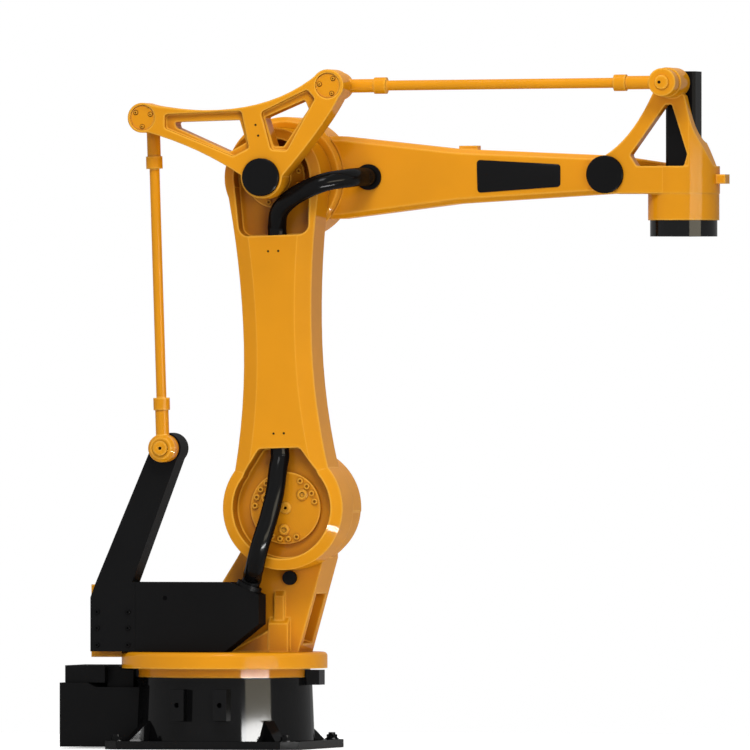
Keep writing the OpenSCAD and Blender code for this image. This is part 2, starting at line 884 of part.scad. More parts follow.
// windows and the pockets around them: corner points as shares of the ear positions
rear_window = [[0.742, 0.929], [0.196, 0.962], [0.14, 0.583], [0.28, 0.425], [0.728, 0.835]];
rear_pocket = [[0.812, 1.058], [0.168, 1.113], [0.104, 0.482], [0.238, 0.348], [0.812, 0.823]];
front_window = [[0.025, 0.656], [0.631, 0.85], [0.692, 0.747], [0.313, 0.337], [0.161, 0.337]];
front_pocket = [[-0.01, 0.711], [0.688, 0.96], [0.809, 0.857], [0.38, 0.286], [0.142, 0.3]];
function placed(p, e, r) = rounded([for (q = p) [q[0] * e[0], q[1] * e[1]]], r, 4);

module rocker() {
  color(ORANGE)
    at_elbow()
      difference() {
        union() {
          yslab(rocker_front, rocker_back)
            polygon(rocker_outline);
          ybar(0, 0, rocker_front, rocker_back, rocker_hub_r);
          ybar(rear_ear_x, rear_ear_z, rocker_front, rocker_back, ear_rear_r);
          ybar(front_ear_x, front_ear_z, rocker_front, rocker_back, ear_front_r);
        }
        yslab(rocker_front - cut, rocker_back + cut) {
          polygon(placed(rear_window, ear_rear, rocker_round / 2));
          polygon(placed(front_window, ear_front, rocker_round / 2));
        }
        yslab(rocker_front - cut, rocker_front + rocker_pocket) {
          polygon(placed(rear_pocket, ear_rear, rocker_round));
          polygon(placed(front_pocket, ear_front, rocker_round));
        }
        ybar(0, 0, rocker_front - cut, rocker_back + cut, elb_shaft_r + pin_clear);
        ybar(rear_ear_x, rear_ear_z, rocker_front - cut, rocker_front + ear_recess_d, ear_recess_r);
        ybar(front_ear_x, front_ear_z, rocker_front - cut, rocker_front + ear_recess_d, ear_recess_r);
        ybar(rear_ear_x, rear_ear_z, rocker_front, rocker_back + cut, pin_r);
        ybar(front_ear_x, front_ear_z, rocker_front, rocker_back + cut, pin_r);
      }
}

module rocker_cap() {
  color(BLACK)
    at_elbow()
      ybevel(0, 0, rocker_front - hub_cap_h, rocker_front, hub_cap_r, hub_cap_h / 5);
}

// pin with a round cover plate in the ear's recess and a washer behind the rod eye
module ear_pin(p) {
  face = rocker_front + ear_recess_d;
  ybar(p[0], p[1], face - ear_recess_d / 2, face, ear_recess_r - face_gap);
  ybar(p[0], p[1], face - bite, eye_back + face_gap + bite, pin_r);
  ybar(p[0], p[1], eye_back + face_gap, eye_back + face_gap + pin_head_h, pin_head_r);
}

module ear_pin_rear() {
  color(ORANGE)
    at_elbow()
      ear_pin(ear_rear);
}

module ear_pin_front() {
  color(ORANGE)
    at_elbow()
      ear_pin(ear_front);
}

// 5 linkage rods, drawn along +X from the first pivot and turned into place
module rod_tube(long) {
  rotate([0, 90, 0]) {
    translate([0, 0, collar_at])
      cylinder(h = long - collar_at * 2, r = rod_r);
    for (z = [collar_at, long - collar_at - collar_len])
      translate([0, 0, z])
        cylinder(h = collar_len, r = collar_r);
  }
}

module rod_eye() {
  difference() {
    union() {
      ybevel(0, 0, -eye_w / 2, eye_w / 2, eye_r, eye_r - pin_head_r * 1.45);
      rotate([0, 90, 0])
        cylinder(h = collar_at, r = neck_r);
    }
    ybar(0, 0, -eye_w / 2 - cut, eye_w / 2 + cut, bore_r);
  }
}

module at_link_rod() {
  translate([post_x, rod_plane, post_z])
    rotate([0, -90 - lower_lean, 0])
      children();
}

module link_rod() {
  color(ORANGE)
    at_link_rod()
      rod_tube(lower_len);
}

module link_eye_low() {
  color(ORANGE)
    at_link_rod()
      rod_eye();
}

module link_eye_top() {
  color(ORANGE)
    at_link_rod()
      translate([lower_len, 0, 0])
        rotate([0, 0, 180])
          rod_eye();
}

module at_top_rod() {
  translate([elbow_x + front_ear_x, rod_plane, elbow_z + front_ear_z])
    rotate([0, -upper_rise, 0])
      children();
}

module top_rod() {
  color(ORANGE)
    at_top_rod()
      rod_tube(upper_len);
}

module top_eye_rear() {
  color(ORANGE)
    at_top_rod()
      rod_eye();
}

module top_eye_front() {
  color(ORANGE)
    at_top_rod()
      translate([upper_len, 0, 0])
        rotate([0, 0, 180])
          rod_eye();
}

// 6 upper arm, drawn along +X from the elbow
module at_upper() {
  translate([elbow_x, 0, elbow_z])
    rotate([0, -upper_rise, 0])
      children();
}

module elbow_hub() {
  color(ORANGE)
    at_upper() {
        ybevel(0, 0, upright_front, hub_back - hub_bevel, hub_r, hub_bevel);
        translate([0, hub_back - hub_bevel, 0])
          rotate([-90, 0, 0])
            cylinder(h = hub_bevel, r1 = hub_r, r2 = hub_r - hub_bevel);
        span([-hub_r - stop_tab_out, -stop_tab, -stop_tab * 0.7],
          [stop_tab - hub_r, stop_tab, stop_tab * 0.55]);
      }
}

function upper_outline(c) = concat(
  [[0, upper_root - c], [upper_root_at, upper_root - c], [upper_mid_at, upper_mid - c]],
  [for (p = arc_pts([upper_len, 0], upper_tip_r - c, 88, -88, tip_seg)) p],
  [[upper_mid_at, c - upper_mid], [upper_root_at, c - upper_root], [0, c - upper_root]]
);

module upper_arm() {
  core = upper_half - upper_cham;
  color(ORANGE)
    at_upper()
      difference() {
        union() {
          yslab(-core, core)
            polygon(upper_outline(0));
          loft(upper_outline(0), core, upper_outline(upper_cham), upper_half);
          loft(upper_outline(upper_cham), -upper_half, upper_outline(0), -core);
          span([lug_at, -core / 2, 0], [lug_at + lug_len, core / 2, upper_mid + lug_h]);
        }
        ybar(0, 0, -upper_half - cut, upper_half + cut, hub_r);
        ybar(upper_len, 0, -upper_half - cut, upper_half + cut, wrist_pin_r + pin_clear);
      }
}

module j3_motor() {
  color(BLACK)
    at_upper()
      translate([0, hub_back, 0])
        rotate([-90, 0, 0])
          motor_body(motor_w, motor_len, motor_cap_w, motor_cap_len, motor_flange_r, motor_flange_th);
}

module hose_socket() {
  color(BLACK)
    at_upper()
      ybar(socket_at, 0, -upper_half - socket_h, -upper_half, socket_r);
}

// 7 wrist
module at_wrist() {
  translate([wrist_x, 0, wrist_z])
    children();
}

cheek_in = upper_half + layer_gap + face_gap;
// right edge of the frame and its window, drawn as seen along Y
frame_edge = [[front_ear_x + top_boss_r * 0.88, front_ear_z * 0.856],
  [tool_reach + body_r * 0.46, front_ear_z * 0.52],
  [tool_reach + body_r * 0.75, front_ear_z * 0.27], [tool_reach + body_r, front_ear_z * 0.03]];
frame_window = [[front_ear_x * 0.9, front_ear_z * 0.76], [front_ear_x, front_ear_z * 0.765],
  [tool_reach + body_r * 0.33, front_ear_z * 0.22], [tool_reach + body_r * 0.24, link_top],
  [front_ear_x * 0.47, link_top], [front_ear_x * 0.37, front_ear_z * 0.21]];
module wrist_plate() {
  difference() {
    union() {
      circle(r = cheek_r);
      translate(ear_front)
        circle(r = top_boss_r);
      polygon(concat(
        curve_pts([0, cheek_r], [front_ear_x * 0.46, front_ear_z * 0.42],
          ear_front + [-top_boss_r, 0], 10),
        [ear_front], spline(frame_edge, 4),
        [[tool_reach + body_r, -link_low], [0, -link_low]]));
    }
    polygon(rounded(frame_window, window_round, 4));
  }
}

// the frame follows the round body to the right of the tool axis
module wrist_shell() {
  translate([tool_reach, 0, -link_low])
    difference() {
      cylinder(h = front_ear_z + link_low, r = body_r);
      translate([0, 0, link_low + link_top])
        cylinder(h = front_ear_z, r = shell_r);
    }
}

module wrist_frame() {
  color(ORANGE)
    at_wrist()
      difference() {
        union() {
          intersection() {
            yslab(-fork_half, -cheek_in)
              wrist_plate();
            span([-cheek_r, -fork_half, -link_low], [tool_reach, -cheek_in, front_ear_z + top_boss_r]);
          }
          intersection() {
            yslab(-fork_half, 0)
              wrist_plate();
            wrist_shell();
            span([tool_reach - bite, -fork_half, -link_low], [tool_reach + body_r, 0, front_ear_z]);
          }
          ybar(front_ear_x, front_ear_z, post_front, -cheek_in, top_boss_r);
          ybar(front_ear_x, front_ear_z, eye_front - face_gap, post_front + bite, pin_r);
          ybevel(front_ear_x, front_ear_z, eye_front - face_gap - pin_head_h,
            eye_front - face_gap, pin_head_r, pin_head_h / 3);
          yslab(cheek_in, fork_half) {
            circle(r = cheek_r);
            polygon([[0, cheek_r], [tool_reach, link_top], [tool_reach, -link_low], [0, -cheek_r]]);
          }
          translate([tool_reach, 0, -body_low])
            cylinder(h = body_low, r = body_r - head_step);
          translate([tool_reach, 0, -link_low])
            cylinder(h = link_low + link_top, r = body_r);
        }
        ybar(0, 0, -fork_half - cut, fork_half + cut, wrist_pin_r);
      }
}

module wrist_cap() {
  color(BLACK)
    at_wrist()
      ybevel(0, 0, -fork_half - wrist_cap_h, -fork_half, wrist_cap_r, wrist_cap_h / 4);
}

module wrist_pin() {
  color(STEEL)
    at_wrist()
      ybar(0, 0, -fork_half, fork_half, wrist_pin_r);
}

module wrist_bracket() {
  color(ORANGE)
    at_wrist()
      difference() {
        span([tool_reach, -bracket_len, -bracket_h],
          [tool_reach + body_r + bracket_len, bracket_len, 0]);
        translate([tool_reach, 0, -body_low])
          cylinder(h = body_low + link_top, r = body_r);
      }
}

module j4_motor() {
  color(BLACK)
    at_wrist()
      translate([tool_reach, 0, link_top])
        linear_extrude(height = wrist_motor_top - link_top)
          cut_square(wrist_motor_w);
}

module tool_flange() {
  color(BLACK)
    at_wrist()
      translate([tool_reach, 0, -body_low - face_gap - flange_th])
        difference() {
          cylinder(h = flange_th, r = flange_r);
          translate([0, 0, -cut])
            cylinder(h = pilot_d + cut, r = pilot_r);
          for (a = [0:5])
            rotate([0, 0, 30 + 60 * a])
              translate([flange_pcd_r, 0, -cut])
                cylinder(h = flange_hole_d + cut, r = flange_hole_r, $fn = 32);
        }
}

// 8 hoses: straight ends on the fittings, and points between them along the photographed run
hose_in = window_back - hose_r - face_gap * 7;
hose_over = window_back - out_flange_th - hose_r * 1.4;
hose_rim = lower_front - hose_r - layer_gap;
lead = hose_r / 2;
clamp_a = atan2(cover_cut_z, cover_cut_x);
clamp_h = hose_r / 2;
clamp_at = [cover_end - cover_cut_x / 2, cover_front + cover_depth / 2, cover_top - cover_cut_z / 2];
clamp_n = [sin(clamp_a), 0, cos(clamp_a)];
arm_n = [-sin(lower_lean), 0, cos(lower_lean)];
low_start = clamp_at + clamp_n * (clamp_h + face_gap);
low_end = [shoulder_x, hose_in, shoulder_z] + arm_n * (low_win_top - face_gap) + [-hose_r / 4, 0, 0];
low_route = [
  low_start,
  low_start + clamp_n * lead / 2,
  low_start + clamp_n * lead * 1.4,
  low_start + clamp_n * lead * 2.5 + [0, -hose_r * 0.75, 0],
  [shoulder_x - shoulder_r * 0.42, hose_rim + hose_r * 0.45, shoulder_z - shoulder_r * 1.05],
  [shoulder_x - shoulder_r * 0.32, hose_rim + hose_r * 0.1, shoulder_z - shoulder_r * 0.74],
  [shoulder_x - shoulder_r * 0.2, hose_rim, shoulder_z - shoulder_r * 0.5],
  [shoulder_x - shoulder_r * 0.12, hose_rim + hose_r, shoulder_z - shoulder_r * 0.09],
  [shoulder_x - shoulder_r * 0.07, hose_over - hose_r / 3, shoulder_z + shoulder_r * 0.29],
  [shoulder_x - shoulder_r * 0.055, hose_over + hose_r / 3, shoulder_z + shoulder_r * 0.63],
  low_end - arm_n * lead * 2,
  low_end - arm_n * lead,
  low_end
];
up_start = [elbow_x, hose_in, elbow_z] - arm_n * (up_win_low - face_gap) + [hose_r / 5, 0, 0];
up_end = [elbow_x + socket_at * cos(upper_rise), -upper_half - socket_h - face_gap,
  elbow_z + socket_at * sin(upper_rise)];
up_route = [
  up_start,
  up_start + arm_n * lead,
  up_start + arm_n * lead * 2.2,
  [elbow_x + hub_r * 0.16, hose_over - hose_r * 0.3, elbow_z - hub_r * 0.53],
  [elbow_x + hub_r * 0.46, hose_rim + hose_r * 0.25, elbow_z - hub_r * 0.35],
  [elbow_x + hub_r * 0.92, hose_rim + hose_r * 0.05, elbow_z - hub_r * 0.15],
  [elbow_x + hub_r * 1.28, hose_rim + hose_r * 2.2, elbow_z - hub_r * 0.05],
  up_end - [hose_r * 0.25, lead * 3.4, 0],
  up_end - [0, lead * 2, 0],
  up_end - [0, lead, 0],
  up_end
];
hose_step = 4;
low_run = spline(low_route, hose_step);
up_run = spline(up_route, hose_step);
up_split = hose_step * 4;

module lower_hose() {
  color(BLACK)
    sweep(low_run, hose_r, hose_sides, 0, len(low_run) - 1);
}

module upper_hose_a() {
  color(BLACK)
    sweep(up_run, hose_r, hose_sides, 0, up_split);
}

module upper_hose_b() {
  color(BLACK)
    sweep(up_run, hose_r, hose_sides, up_split, len(up_run) - 1, face_gap);
}

base_plate();
base_column();
travel_stop();
connector_box();
connector_hood();
slew_ring();
turntable_disc();
rear_block();
upright();
cable_port();
side_cover();
link_post();
j1_motor();
j2_motor();
hose_clamp();
lower_hose();
lower_arm();
j2_flange();
elbow_shaft();
rocker();
rocker_cap();
ear_pin_rear();
ear_pin_front();
upper_hose_a();
link_rod();
link_eye_low();
link_eye_top();
elbow_hub();
upper_arm();
j3_motor();
hose_socket();
upper_hose_b();
top_rod();
top_eye_rear();
top_eye_front();
wrist_frame();
wrist_cap();
wrist_pin();
wrist_bracket();
j4_motor();
tool_flange();
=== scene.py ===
import math

import bmesh
import bpy
from mathutils import Matrix, Vector


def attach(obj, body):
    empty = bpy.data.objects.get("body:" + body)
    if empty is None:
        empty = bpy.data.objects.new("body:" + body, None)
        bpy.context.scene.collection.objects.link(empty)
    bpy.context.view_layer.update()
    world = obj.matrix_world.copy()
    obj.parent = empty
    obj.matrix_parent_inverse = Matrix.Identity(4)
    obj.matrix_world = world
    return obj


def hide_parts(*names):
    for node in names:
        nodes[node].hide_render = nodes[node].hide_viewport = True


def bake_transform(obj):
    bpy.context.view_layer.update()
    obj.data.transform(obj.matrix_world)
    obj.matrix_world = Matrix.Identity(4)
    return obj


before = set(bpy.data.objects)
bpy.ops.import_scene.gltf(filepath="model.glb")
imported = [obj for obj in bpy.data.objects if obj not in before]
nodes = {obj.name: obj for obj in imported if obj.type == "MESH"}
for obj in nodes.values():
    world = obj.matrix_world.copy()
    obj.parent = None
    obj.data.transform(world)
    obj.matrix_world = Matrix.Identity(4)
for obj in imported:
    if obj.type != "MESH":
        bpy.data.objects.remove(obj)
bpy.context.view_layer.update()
scene = bpy.context.scene
scene.view_settings.view_transform = "Standard"

MM = 0.001
FRONT = (0, -1, 0)
REAR = (0, 1, 0)
UP = (0, 0, 1)

# Places of the part, in millimetres, as in the CAD source; a pair is X and Z.
LEAN = math.radians(1.8)
RISE = math.radians(0.45)
LOWER_LEN = 1280.0
UPPER_LEN = 1300.0
REAR_CRANK = (-478, 231)
FRONT_CRANK = (265, 353)
SHOULDER = (300.0, 935.0)
ELBOW = (SHOULDER[0] - LOWER_LEN * math.sin(LEAN), SHOULDER[1] + LOWER_LEN * math.cos(LEAN))
WRIST = (ELBOW[0] + UPPER_LEN * math.cos(RISE), ELBOW[1] + UPPER_LEN * math.sin(RISE))
REAR_EAR = (ELBOW[0] + REAR_CRANK[0], ELBOW[1] + REAR_CRANK[1])
FRONT_EAR = (ELBOW[0] + FRONT_CRANK[0], ELBOW[1] + FRONT_CRANK[1])
POST = (SHOULDER[0] + REAR_CRANK[0], SHOULDER[1] + REAR_CRANK[1])
WRIST_TOP = (WRIST[0] + FRONT_CRANK[0], WRIST[1] + FRONT_CRANK[1])

# Depths of faces, along Y.
LOWER_FACE = -270.0
WINDOW_BACK = -186.0
FLANGE_FACE = WINDOW_BACK - 16.0
ROCKER_FACE = -410.0
EAR_COVER_FACE = ROCKER_FACE + 14.0 - 7.0
COVER_FACE = -214.0
POST_FACE = -213.0
EYE_FACE = -298.0
SOCKET_FACE = -78.0
MOTOR_FLANGE = 36.0
MOTOR_SEATS = (("j2", SHOULDER, 135.0, "turntable"), ("j3", ELBOW, 125.0, "upper_link"))

# The black cover's end, with the sloping corner that carries the lower hose.
COVER_END = 196.0
COVER_TOP = 647.0
COVER_DEPTH = 104.0
SLOPE_RUN = 112.0
SLOPE_DROP = 48.0

FOOT_TH = 32.0
ANCHOR_AT = 340.0


def on_lower(u, v):
    """A point of the lower arm's own drawing: u across, v up from the shoulder."""
    return (SHOULDER[0] + u * math.cos(LEAN) - v * math.sin(LEAN),
            SHOULDER[1] + u * math.sin(LEAN) + v * math.cos(LEAN))


def polar(centre, radius, degrees, y):
    a = math.radians(degrees)
    return (centre[0] + radius * math.cos(a), y, centre[1] + radius * math.sin(a))


# camera
def stand(obj, target, az, el, dist):
    """Set a camera or lamp at angles and a distance from its target, looking at it."""
    a, e = math.radians(az), math.radians(el)
    target = Vector(target)
    away = Vector((math.sin(a) * math.cos(e), -math.cos(a) * math.cos(e), math.sin(e)))
    obj.location = target + away * dist
    obj.rotation_euler = (target - obj.location).to_track_quat("-Z", "Y").to_euler()


def set_camera():
    """A long lens from far away: the photograph has next to no perspective."""
    cam = bpy.data.cameras.new("camera")
    cam.lens = 1000
    cam.sensor_width = 36
    cam.clip_start = 1
    cam.clip_end = 200
    obj = bpy.data.objects.new("camera", cam)
    scene.collection.objects.link(obj)
    stand(obj, (0.605, 0, 1.450), az=15, el=0, dist=80.8)
    scene.camera = obj


set_camera()


# materials
NOISE_SPAN = (0.3, 0.7)
BUMP_DEPTH = 0.0004
# Painted shade: how far the ambient occlusion reaches, and over which part of it the orange turns
# browner in pockets and corners.
PAINTED_SHADE_REACH = 0.20
PAINTED_SHADE_SPAN = (0.15, 0.78)
# Painted highlight: over which part of the rounded normal against the true normal an edge turns
# lighter, and how far at most.
PAINTED_HIGHLIGHT_SPAN = (0.996, 0.974)
PAINTED_HIGHLIGHT_SHARE = 0.7
# sockets of a colour Mix node
MIX_FACTOR, MIX_A, MIX_B, MIX_RESULT = 0, 6, 7, 2


class Nodes:
    """A material's nodes, with short calls for what the paints share."""

    def __init__(self, name):
        self.mat = bpy.data.materials.new(name)
        self.mat.use_nodes = True
        self.tree = self.mat.node_tree
        self.tree.nodes.clear()
        out = self.add("ShaderNodeOutputMaterial")
        self.bsdf = self.add("ShaderNodeBsdfPrincipled")
        self.link(self.bsdf.outputs["BSDF"], out.inputs["Surface"])
        self.coord = self.add("ShaderNodeTexCoord")

    def add(self, kind, **values):
        node = self.tree.nodes.new(kind)
        for key, value in values.items():
            setattr(node, key, value)
        return node

    def link(self, source, target):
        self.tree.links.new(source, target)

    def set(self, **values):
        """Constant values, on the shader's own sockets."""
        for key, value in values.items():
            self.bsdf.inputs[key.replace("_", " ")].default_value = value

    def feed(self, source, key):
        self.link(source, self.bsdf.inputs[key])

    def noise(self, scale, detail=3.0):
        node = self.add("ShaderNodeTexNoise")
        node.inputs["Scale"].default_value = scale
        node.inputs["Detail"].default_value = detail
        self.link(self.coord.outputs["Object"], node.inputs["Vector"])
        return node.outputs["Fac"]

    def tint(self, source, low, high):
        """Colour that runs from low to high with a noise."""
        node = self.add("ShaderNodeValToRGB")
        for stop, at, colour in zip(node.color_ramp.elements, NOISE_SPAN, (low, high)):
            stop.position = at
            stop.color = colour
        self.link(source, node.inputs["Fac"])
        return node.outputs["Color"]

    def fade(self, source, span, low=0.0, high=1.0):
        """Value that runs from low to high over a span of the source."""
        node = self.add("ShaderNodeMapRange")
        ends = (("From Min", span[0]), ("From Max", span[1]), ("To Min", low), ("To Max", high))
        for key, value in ends:
            node.inputs[key].default_value = value
        self.link(source, node.inputs["Value"])
        return node.outputs["Result"]

    def blend(self, factor, low, high):
        """Colour that runs from low to high; each is a socket or a plain colour."""
        mix = self.add("ShaderNodeMix", data_type="RGBA")
        self.link(factor, mix.inputs[MIX_FACTOR])
        for colour, at in ((low, MIX_A), (high, MIX_B)):
            if isinstance(colour, tuple):
                mix.inputs[at].default_value = colour
            else:
                self.link(colour, mix.inputs[at])
        return mix.outputs[MIX_RESULT]

    def rounding(self, radius):
        """Normal with the edges rounded."""
        bevel = self.add("ShaderNodeBevel", samples=8)
        bevel.inputs["Radius"].default_value = radius
        return bevel.outputs["Normal"]

    def grain(self, height, strength, normal):
        """Normal with a fine bump on top."""
        bump = self.add("ShaderNodeBump")
        bump.inputs["Strength"].default_value = strength
        bump.inputs["Distance"].default_value = BUMP_DEPTH
        self.link(height, bump.inputs["Height"])
        self.link(normal, bump.inputs["Normal"])
        return bump.outputs["Normal"]

    def painted_shade_and_highlight(self, tint, painted_shade, edge, normal):
        """Painted shade and painted highlight: the colour turns browner deep in pockets and
        corners, where shade falls, and lighter in a line along edges, where light glints.
        """
        ao = self.add("ShaderNodeAmbientOcclusion", samples=8)
        ao.inputs["Distance"].default_value = PAINTED_SHADE_REACH
        shaded = self.blend(self.fade(ao.outputs["AO"], PAINTED_SHADE_SPAN), painted_shade, tint)
        geo = self.add("ShaderNodeNewGeometry")
        dot = self.add("ShaderNodeVectorMath", operation="DOT_PRODUCT")
        self.link(normal, dot.inputs[0])
        self.link(geo.outputs["Normal"], dot.inputs[1])
        return self.blend(self.fade(dot.outputs["Value"], PAINTED_HIGHLIGHT_SPAN, high=PAINTED_HIGHLIGHT_SHARE), shaded, edge)


def shade(colour, share):
    return tuple(c * share for c in colour) + (1,)


def paint(name, colour, rough, coat=0.0, coat_rough=0.07, edge=0.006, spread=0.06, bump=0.08,
          specular=0.0, metal=0.0, painted_shade_and_highlight=None):
    """Paint with broad changes of tint and roughness, rounded edges and a fine grain; given two
    colours, also painted shade in pockets and a painted highlight along edges.
    """
    n = Nodes(name)
    tint = n.tint(n.noise(2.2), shade(colour, 1 - spread), shade(colour, 1 + spread))
    normal = n.rounding(edge)
    # The colour carries painted shade in pockets and a painted highlight along edges, if two
    # colours are given for them.
    n.feed(n.painted_shade_and_highlight(tint, *painted_shade_and_highlight, normal) if painted_shade_and_highlight else tint, "Base Color")
    n.feed(n.fade(n.noise(9), NOISE_SPAN, *rough), "Roughness")
    n.feed(n.grain(n.noise(420, detail=2), bump, normal), "Normal")
    n.set(Coat_Weight=coat, Coat_Roughness=coat_rough, Specular_IOR_Level=specular, Metallic=metal)
    return n.mat


ORANGE = (0.80, 0.315, 0.0075)
# Painted shade for orange deep in pockets, and a painted highlight for orange along edges.
ORANGE_PAINTED_SHADE = (0.42, 0.148, 0.009, 1)
ORANGE_PAINTED_HIGHLIGHT = (1.0, 0.50, 0.055, 1)
BLACK = (0.0045, 0.0045, 0.0048)

# The orange carries painted shade in pockets and a painted highlight along edges.
M_ORANGE = paint("orange_paint", ORANGE, (0.36, 0.48), coat=0.22, edge=0.012,
                 painted_shade_and_highlight=(ORANGE_PAINTED_SHADE, ORANGE_PAINTED_HIGHLIGHT))
M_SATIN = paint("black_satin", BLACK, (0.40, 0.52), coat=0.14, coat_rough=0.40,
                edge=0.005, spread=0.2)
M_GLOSS = paint("black_gloss", BLACK, (0.30, 0.40), coat=0.30,
                edge=0.004, spread=0.2, bump=0.02)
M_BASE = paint("black_base", BLACK, (0.30, 0.40), coat=0.20,
               edge=0.004, spread=0.2, bump=0.02)
M_CAP = paint("black_cap", BLACK, (0.30, 0.40), coat=0.15, coat_rough=0.30,
              edge=0.003, spread=0.2)
M_RUBBER = paint("hose_rubber", BLACK, (0.40, 0.50), coat=0.17, coat_rough=0.14,
                 edge=0.001, spread=0.2, bump=0.05)
# Painted shade: a near-black dish that stands for the depth of a small hole.
M_HOLE_SHADE = paint("hole_painted_shade", (0.02, 0.012, 0.006), (0.7, 0.9), edge=0.0005)
# Painted shade: a dark orange for the floor of screw sockets and for the gap around sunk heads.
M_SOCKET_SHADE = paint("socket_painted_shade", (0.30, 0.10, 0.008), (0.6, 0.8), edge=0.0005)
M_PIT = paint("hole_black", BLACK, (0.6, 0.8), edge=0.0005, spread=0.2)
M_PLATE = paint("black_plate", BLACK, (0.30, 0.38), coat=0.18, coat_rough=0.22,
                edge=0.0015, spread=0.15, bump=0.03)
M_STEEL = paint("bare_steel", (0.20, 0.20, 0.21), (0.32, 0.46), edge=0.001,
                specular=0.5, metal=1.0)

# CAD nodes that aren't orange
FINISH = {
    M_BASE: ("base_column", "base_plate", "travel_stop"),
    M_GLOSS: ("tool_flange",),
    M_SATIN: ("connector_box", "connector_hood", "side_cover", "link_post",
              "j1_motor", "j2_motor", "j3_motor"),
    M_CAP: ("cable_port", "hose_clamp", "rocker_cap", "hose_socket", "wrist_cap", "j4_motor"),
    M_RUBBER: ("lower_hose", "upper_hose_a", "upper_hose_b"),
    M_STEEL: ("wrist_pin",),
}


def dress(obj, mat):
    obj.data.materials.clear()
    obj.data.materials.append(mat)


def dress_nodes():
    for obj in nodes.values():
        dress(obj, M_ORANGE)
    for mat, names in FINISH.items():
        for name in names:
            dress(nodes[name], mat)


dress_nodes()


# pieces
SHARP = math.radians(34)


def put(name, bm, mat, body=None):
    """Make the object and let it ride on a body; a hose has none."""
    mesh = bpy.data.meshes.new(name)
    bmesh.ops.recalc_face_normals(bm, faces=bm.faces[:])
    bm.to_mesh(mesh)
    bm.free()
    for f in mesh.polygons:
        f.use_smooth = True
    mesh.set_sharp_from_angle(angle=SHARP)
    obj = bpy.data.objects.new(name, mesh)
    scene.collection.objects.link(obj)
    dress(obj, mat)
    if body:
        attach(obj, body)
    return obj


def skin(bm, loops):
    """Close a row of loops to a solid."""
    sides = len(loops[0])
    for a, b in zip(loops, loops[1:]):
        for k in range(sides):
            m = (k + 1) % sides
            bm.faces.new((a[k], a[m], b[m], b[k]))
    bm.faces.new(loops[0])
    bm.faces.new(loops[-1])


def turned(bm, at, axis, rings, sides=24):
    """A turned shape; each ring is a radius, a height and the flats of its outline, 0 if round."""
    turn = Vector(axis).to_track_quat("Z", "Y").to_matrix()
    loops = []
    for radius, height, flats in rings:
        loop = []
        for k in range(sides):
            a = 2 * math.pi * k / sides
            r = radius
            if flats:
                half = math.pi / flats
                r = radius * math.cos(half) / math.cos((a % (2 * half)) - half)
            p = turn @ Vector((r * math.cos(a), r * math.sin(a), height)) + Vector(at)
            loop.append(bm.verts.new(p * MM))
        loops.append(loop)
    skin(bm, loops)


def screws(name, places, axis, mat, body, r, h, seat=0.0):
    """Socket head screws, sunk a little; the floor of each socket is a dark piece, and a seat is a
    dark ring around the head that stands for the gap; on orange screws both are painted shade.
    """
    heads = bmesh.new()
    dark = bmesh.new()
    for at in places:
        turned(heads, at, axis, [(r, -1, 0), (r, h - r * 0.18, 0), (r * 0.86, h, 0),
                                 (r * 0.55, h, 6), (r * 0.52, h * 0.45, 6)])
        turned(dark, at, axis, [(r * 0.5, h * 0.4, 6), (r * 0.5, h * 0.52, 6),
                                (r * 0.3, h * 0.5, 0)], sides=12)
        if seat:
            turned(dark, at, axis, [(seat, -1, 0), (seat, 0.4, 0),
                                    (r * 0.9, 0.4, 0), (r * 0.9, 0.1, 0)], sides=20)
    put(name, heads, mat, body)
    # On orange screws the sockets and seats get painted shade; black screws keep their black.
    put(name + "_sockets", dark, M_SOCKET_SHADE if mat == M_ORANGE else M_PIT, body)


def holes(name, places, r, body, mat=M_HOLE_SHADE):
    """Small drilled holes in front faces, each a dark dish; the default colour is painted shade,
    standing for the depth of the hole.
    """
    bm = bmesh.new()
    for at in places:
        turned(bm, at, FRONT, [(r, -1, 0), (r, 0.5, 0), (r * 0.8, 0.5, 0), (r * 0.7, 0.2, 0)],
               sides=16)
    put(name, bm, mat, body)


def boss(name, places, rings, body):
    """Round orange bosses on front faces."""
    bm = bmesh.new()
    for at in places:
        turned(bm, at, FRONT, rings, sides=32)
    put(name, bm, M_ORANGE, body)


def slab(bm, outline, front_y, back_y, bevel):
    """Outline in X and Z drawn between two depths, with its front edge rounded."""
    a = [bm.verts.new(Vector((x, front_y, z)) * MM) for x, z in outline]
    b = [bm.verts.new(Vector((x, back_y, z)) * MM) for x, z in outline]
    n = len(outline)
    front = bm.faces.new(a)
    bm.faces.new(list(reversed(b)))
    for k in range(n):
        m = (k + 1) % n
        bm.faces.new((a[k], b[k], b[m], a[m]))
    bmesh.ops.bevel(bm, geom=list(front.edges), offset=bevel * MM, segments=2,
                    affect="EDGES", profile=0.5)


def rounded(corners, r, steps=6):
    """Outline with its corners rounded."""
    out = []
    n = len(corners)
    for i in range(n):
        p = Vector(corners[i])
        a = (Vector(corners[i - 1]) - p).normalized()
        b = (Vector(corners[(i + 1) % n]) - p).normalized()
        half = a.angle(b) / 2
        back = r / math.tan(half)
        mid = p + (a + b).normalized() * (r / math.sin(half))
        first = p + a * back - mid
        last = p + b * back - mid
        turn = first.angle_signed(last)
        for k in range(steps + 1):
            out.append(tuple(mid + Matrix.Rotation(-turn * k / steps, 2) @ first))
    return out


# hoses, smooth and close to the CAD routes
HOSE_R = 36.0
HOSE_GAP = 0.5
HOSE_IN = WINDOW_BACK - HOSE_R - 3.5
HOSE_OVER = FLANGE_FACE - HOSE_R * 1.4
HOSE_RIM = LOWER_FACE - HOSE_R - 5.0
LEAD = HOSE_R / 2
STEPS = 10
ARM_UP = Vector((-math.sin(LEAN), 0, math.cos(LEAN)))
SHOULDER_EDGE = 232.0
ELBOW_EDGE = 224.0
HUB_R = 237.0
SOCKET_AT = 338.0
SEAM_POINT = 4


